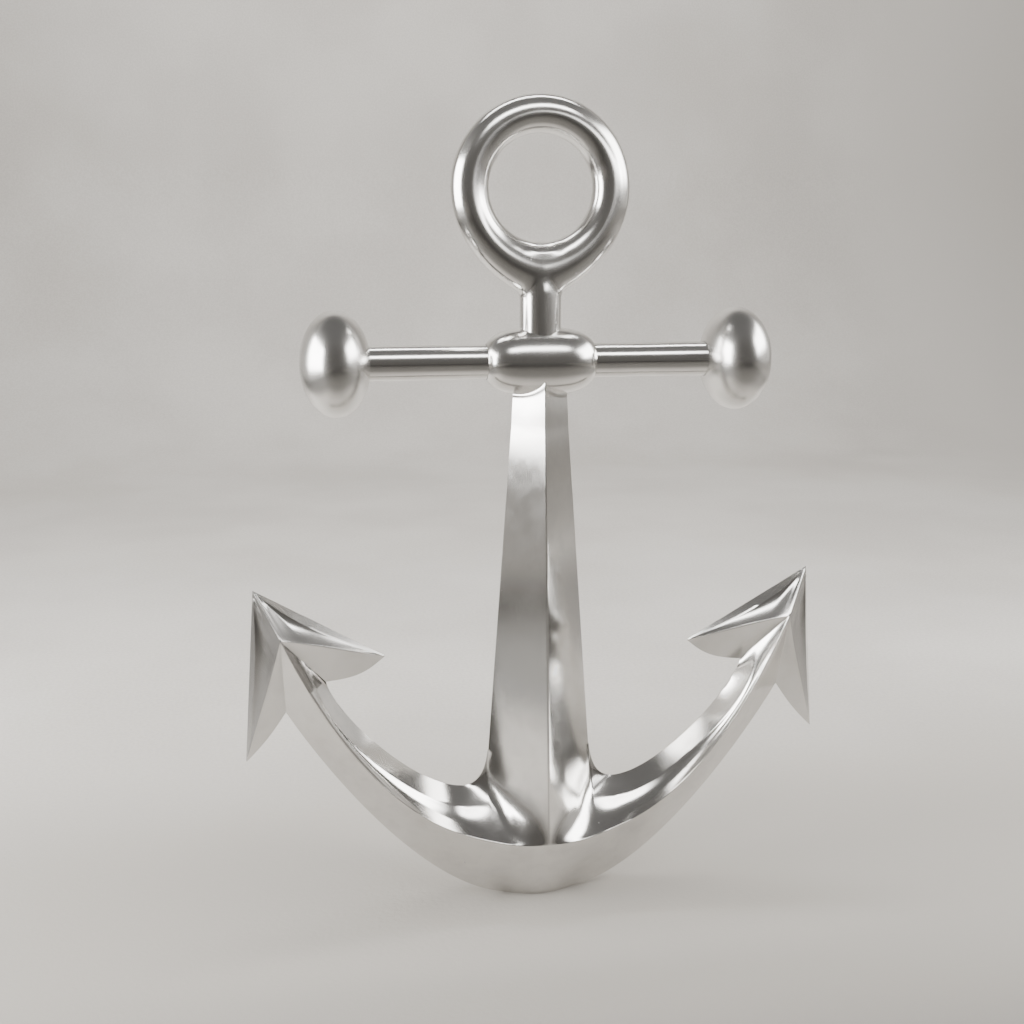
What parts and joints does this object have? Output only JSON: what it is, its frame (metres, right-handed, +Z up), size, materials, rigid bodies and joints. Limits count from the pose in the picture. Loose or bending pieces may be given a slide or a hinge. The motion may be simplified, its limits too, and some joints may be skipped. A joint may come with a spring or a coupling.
{
  "type": "display anchor",
  "caption": "Polished cast aluminium display anchor of the admiralty pattern, with ring, ball-ended stock, tapered shank, crescent arms and arrowhead flukes.",
  "frame": {"origin": "middle of the flat foot under the crown, on the floor", "axes": "+Z up along the shank towards the ring, +X along the stock and arms towards the right fluke, -Y the front"},
  "size_m": [0.4404, 0.09, 0.6],
  "materials": {
    "cast_ring": "polished",
    "cast_stock": "polished",
    "cast_shank": "polished, faint grain",
    "cast_arms": "polished, faint grain",
    "cast_flukes": "polished",
    "hardware": "satin"
  },
  "bodies": {
    "root": {"ring_eye": "cast_ring", "stock_boss": "cast_stock", "stock_bar": "cast_stock", "stock_ball_left": "cast_stock", "stock_ball_right": "cast_stock", "shank": "cast_shank", "arms": "cast_arms", "fluke_left": "cast_flukes", "fluke_right": "cast_flukes", "ball_stud_left": "hardware", "ball_stud_right": "hardware", "tie_stud": "hardware", "crown_pins": "hardware", "draw_bolt": "hardware", "draw_washer": "hardware", "fluke_stud_left": "hardware", "fluke_stud_right": "hardware", "fluke_screw_left": "hardware", "fluke_screw_right": "hardware"}
  },
  "joints": []
}
